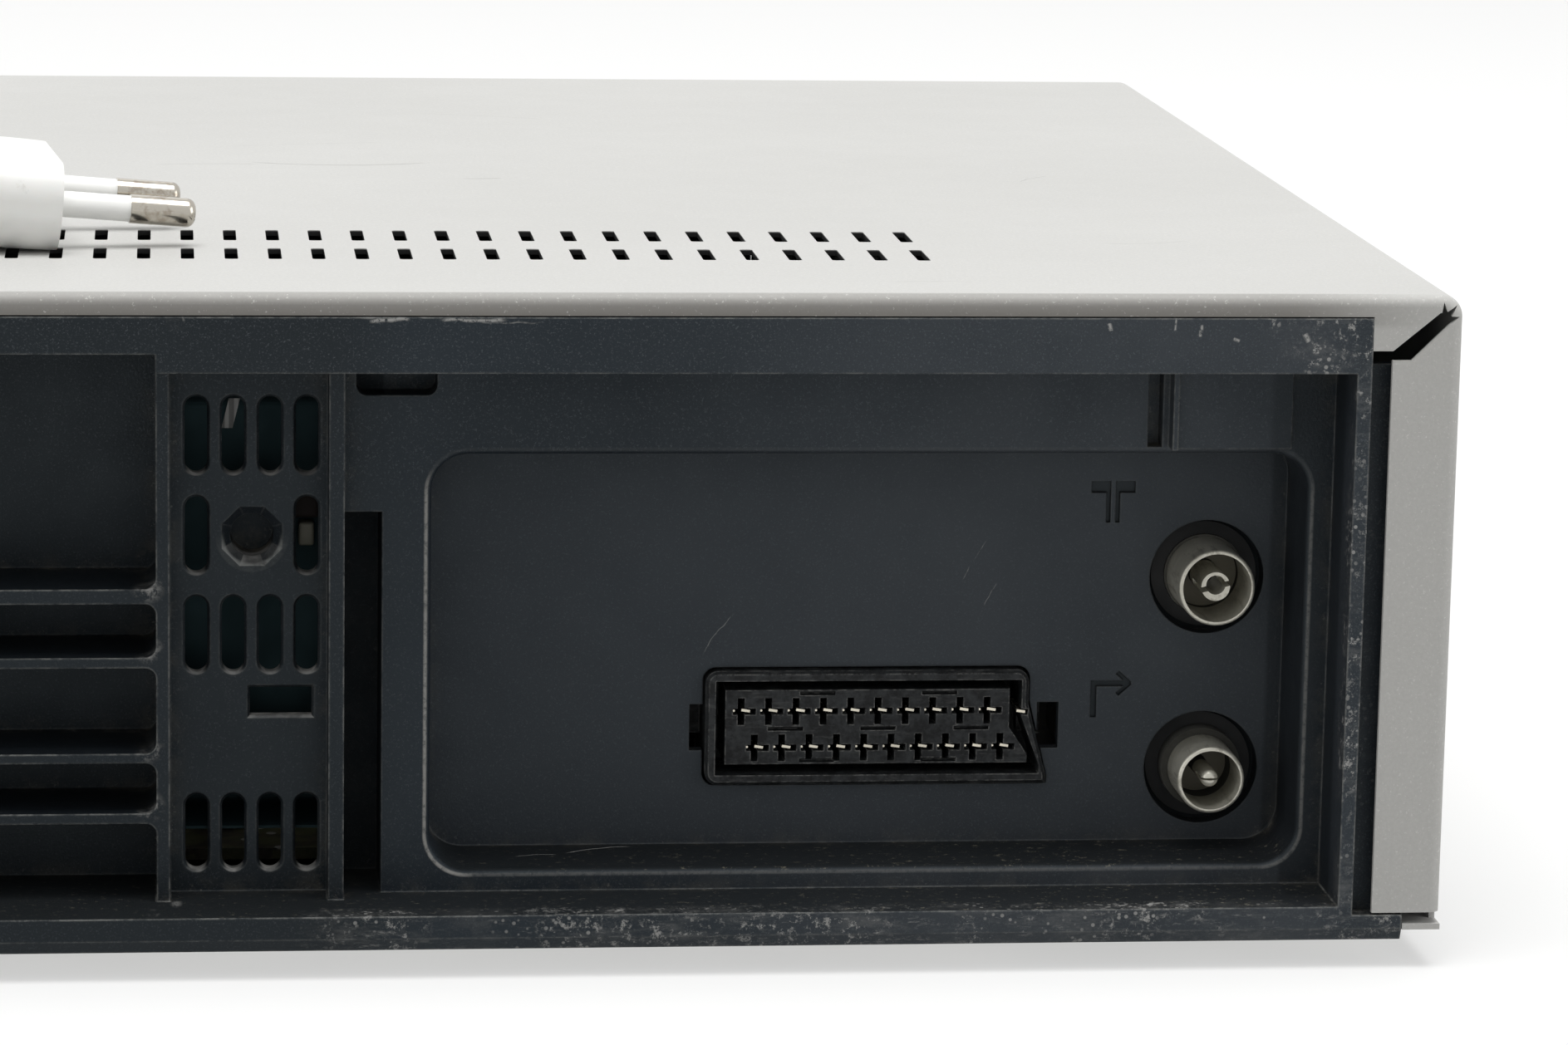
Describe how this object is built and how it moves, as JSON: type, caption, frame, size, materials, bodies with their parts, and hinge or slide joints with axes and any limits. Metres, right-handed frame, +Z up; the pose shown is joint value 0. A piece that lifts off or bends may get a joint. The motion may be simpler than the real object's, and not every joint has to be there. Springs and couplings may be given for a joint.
{
  "type": "video cassette recorder",
  "caption": "Front-loading video cassette recorder with a painted steel cover, ribbed rear panel with AV and aerial sockets, cassette flap, push buttons and a working tape deck.",
  "frame": {"origin": "under the middle of the case, on the surface that the feet stand on, leaving out the mains lead", "axes": "+Z up, front faces -Y, connectors face +Y, +X to the right seen from the front"},
  "size_m": [0.3832, 0.4092, 0.1089],
  "materials": {
    "cover_paint": "fine metallic warm-grey powder paint",
    "panel_plastic": "spark-eroded charcoal polystyrene",
    "fascia_plastic": "painted grey plastic",
    "flap_plastic": "satin dark plastic",
    "button_plastic": "satin plastic",
    "window_acrylic": "smoked acrylic",
    "foot_rubber": "matt",
    "steel": "zinc plated",
    "screw_steel": "blackened steel",
    "circuit_board": "paper phenolic board",
    "nickel": "dull nickel plate",
    "insulator": "brownish dielectric",
    "connector_plastic": "black plastic",
    "contact_metal": "tinned contacts",
    "transformer_iron": "lacquered laminations",
    "aluminium": "machined",
    "capacitor_sleeve": "shrink sleeve",
    "cable_grey": "flat flexible cable",
    "cord_white": "white PVC",
    "pin_nickel": "nickel plated brass pins with white sleeves",
    "black_rubber": "soft rubber",
    "white_plastic": "acetal"
  },
  "bodies": {
    "case": {"top_cover": "cover_paint", "bottom_tray": "steel", "rear_panel": "panel_plastic", "front_fascia": "fascia_plastic", "display_window": "window_acrylic", "rubber_feet": "foot_rubber", "cover_screws": "screw_steel", "display_board": "circuit_board", "main_board": "circuit_board", "tuner_can": "steel", "aerial_in_barrel": "nickel", "aerial_in_contact": "nickel", "aerial_out_barrel": "nickel", "aerial_out_pin": "nickel", "aerial_insulators": "insulator", "scart_housing": "connector_plastic", "scart_contacts": "contact_metal", "power_transformer": "transformer_iron", "smoothing_capacitor": "capacitor_sleeve", "heat_sink": "aluminium", "ribbon_cable": "cable_grey", "strain_relief": "panel_plastic", "mains_lead": "cord_white", "lead_coil": "cord_white", "plug_lead": "cord_white", "plug_body": "cord_white", "plug_pins": "pin_nickel", "deck_plate": "steel", "lift_brackets": "steel", "drum_base": "aluminium", "erase_head": "aluminium", "audio_control_head": "aluminium", "loading_motor": "aluminium", "drive_belt": "black_rubber"},
    "power_button": {"power_button": "button_plastic"},
    "eject_button": {"eject_button": "button_plastic"},
    "rewind_button": {"rewind_button": "button_plastic"},
    "play_button": {"play_button": "button_plastic"},
    "fast_forward_button": {"fast_forward_button": "button_plastic"},
    "stop_button": {"stop_button": "button_plastic"},
    "record_button": {"record_button": "button_plastic"},
    "channel_down_button": {"channel_down_button": "button_plastic"},
    "channel_up_button": {"channel_up_button": "button_plastic"},
    "flap": {"cassette_flap": "flap_plastic"},
    "carriage": {"holder_slides": "steel"},
    "holder": {"cassette_holder": "steel"},
    "drum": {"head_drum": "aluminium"},
    "capstan": {"capstan_flywheel": "aluminium"},
    "supply_reel": {"supply_reel": "white_plastic"},
    "take_up_reel": {"take_up_reel": "white_plastic"},
    "clutch": {"clutch_pulley": "white_plastic"},
    "idler_arm": {"idler_arm": "steel"},
    "idler_wheel": {"idler_wheel": "black_rubber"},
    "pinch_arm": {"pinch_arm": "steel"},
    "pinch_roller": {"pinch_roller": "black_rubber"},
    "tension_arm": {"tension_arm": "steel"},
    "supply_guide": {"supply_guide": "white_plastic"},
    "take_up_guide": {"take_up_guide": "white_plastic"},
    "cam_gear": {"cam_gear": "white_plastic"},
    "motor_pinion": {"motor_pinion": "white_plastic"}
  },
  "joints": [
    {"name": "flap_hinge", "type": "hinge", "parent": "case", "child": "flap", "pos_m": [-0.027, -0.1386, 0.086], "axis": [1, 0, 0], "range_deg": [0, 85], "stiffness_Nm_per_rad": 0.004},
    {"name": "power_press", "type": "slide", "parent": "case", "child": "power_button", "axis": [0, 1, 0], "range_m": [0, 0.0012], "stiffness_N_per_m": 300},
    {"name": "eject_press", "type": "slide", "parent": "case", "child": "eject_button", "axis": [0, 1, 0], "range_m": [0, 0.0012], "stiffness_N_per_m": 300},
    {"name": "rewind_press", "type": "slide", "parent": "case", "child": "rewind_button", "axis": [0, 1, 0], "range_m": [0, 0.0012], "stiffness_N_per_m": 300},
    {"name": "play_press", "type": "slide", "parent": "case", "child": "play_button", "axis": [0, 1, 0], "range_m": [0, 0.0012], "stiffness_N_per_m": 300},
    {"name": "fast_forward_press", "type": "slide", "parent": "case", "child": "fast_forward_button", "axis": [0, 1, 0], "range_m": [0, 0.0012], "stiffness_N_per_m": 300},
    {"name": "stop_press", "type": "slide", "parent": "case", "child": "stop_button", "axis": [0, 1, 0], "range_m": [0, 0.0012], "stiffness_N_per_m": 300},
    {"name": "record_press", "type": "slide", "parent": "case", "child": "record_button", "axis": [0, 1, 0], "range_m": [0, 0.0012], "stiffness_N_per_m": 300},
    {"name": "channel_down_press", "type": "slide", "parent": "case", "child": "channel_down_button", "axis": [0, 1, 0], "range_m": [0, 0.0012], "stiffness_N_per_m": 300},
    {"name": "channel_up_press", "type": "slide", "parent": "case", "child": "channel_up_button", "axis": [0, 1, 0], "range_m": [0, 0.0012], "stiffness_N_per_m": 300},
    {"name": "holder_in", "type": "slide", "parent": "case", "child": "carriage", "axis": [0, 1, 0], "range_m": [0, 0.07]},
    {"name": "holder_down", "type": "slide", "parent": "carriage", "child": "holder", "axis": [0, 0, -1], "range_m": [0, 0.019]},
    {"name": "drum_spin", "type": "hinge", "parent": "case", "child": "drum", "pos_m": [-0.027, 0.058, 0.0468], "axis": [0.0872, 0, 0.9962], "continuous": true},
    {"name": "capstan_spin", "type": "hinge", "parent": "case", "child": "capstan", "pos_m": [0.039, 0.033, 0.03], "axis": [0, 0, 1], "continuous": true},
    {"name": "clutch_spin", "type": "hinge", "parent": "case", "child": "clutch", "pos_m": [-0.027, -0.026, 0.02], "axis": [0, 0, 1], "continuous": true},
    {"name": "supply_reel_spin", "type": "hinge", "parent": "case", "child": "supply_reel", "pos_m": [-0.073, -0.05, 0.03], "axis": [0, 0, 1], "continuous": true},
    {"name": "take_up_reel_spin", "type": "hinge", "parent": "case", "child": "take_up_reel", "pos_m": [0.019, -0.05, 0.03], "axis": [0, 0, 1], "continuous": true},
    {"name": "idler_swing", "type": "hinge", "parent": "case", "child": "idler_arm", "pos_m": [-0.027, -0.026, 0.028], "axis": [0, 0, 1], "range_deg": [-8.5, 8.5]},
    {"name": "idler_spin", "type": "hinge", "parent": "idler_arm", "child": "idler_wheel", "pos_m": [-0.027, -0.05, 0.03], "axis": [0, 0, 1], "continuous": true},
    {"name": "pinch_swing", "type": "hinge", "parent": "case", "child": "pinch_arm", "pos_m": [0.057, 0.05, 0.034], "axis": [0, 0, 1], "range_deg": [-17, 0]},
    {"name": "pinch_roller_spin", "type": "hinge", "parent": "pinch_arm", "child": "pinch_roller", "pos_m": [0.053, 0.027, 0.045], "axis": [0, 0, 1], "continuous": true},
    {"name": "tension_swing", "type": "hinge", "parent": "case", "child": "tension_arm", "pos_m": [-0.105, -0.002, 0.03], "axis": [0, 0, 1], "range_deg": [-6, 8], "stiffness_Nm_per_rad": 0.01},
    {"name": "cam_turn", "type": "hinge", "parent": "case", "child": "cam_gear", "pos_m": [-0.103, 0.062, 0.03], "axis": [0, 0, 1], "range_deg": [0, 270]},
    {"name": "pinion_turn", "type": "hinge", "parent": "case", "child": "motor_pinion", "pos_m": [-0.11997, 0.04503, 0.03], "axis": [0, 0, 1], "range_deg": [-1080, 0]},
    {"name": "supply_guide_slide", "type": "slide", "parent": "case", "child": "supply_guide", "axis": [-0.28, 0.96, 0], "range_m": [0, 0.05]},
    {"name": "take_up_guide_slide", "type": "slide", "parent": "case", "child": "take_up_guide", "axis": [0.28, 0.96, 0], "range_m": [0, 0.05]}
  ],
  "couplings": [
    {"joint": "clutch_spin", "follows": "capstan_spin", "ratio": 1},
    {"joint": "cam_turn", "follows": "supply_guide_slide", "rad_per_m": 94.248},
    {"joint": "pinion_turn", "follows": "supply_guide_slide", "rad_per_m": -376.99},
    {"joint": "take_up_guide_slide", "follows": "supply_guide_slide", "ratio": 1}
  ]
}
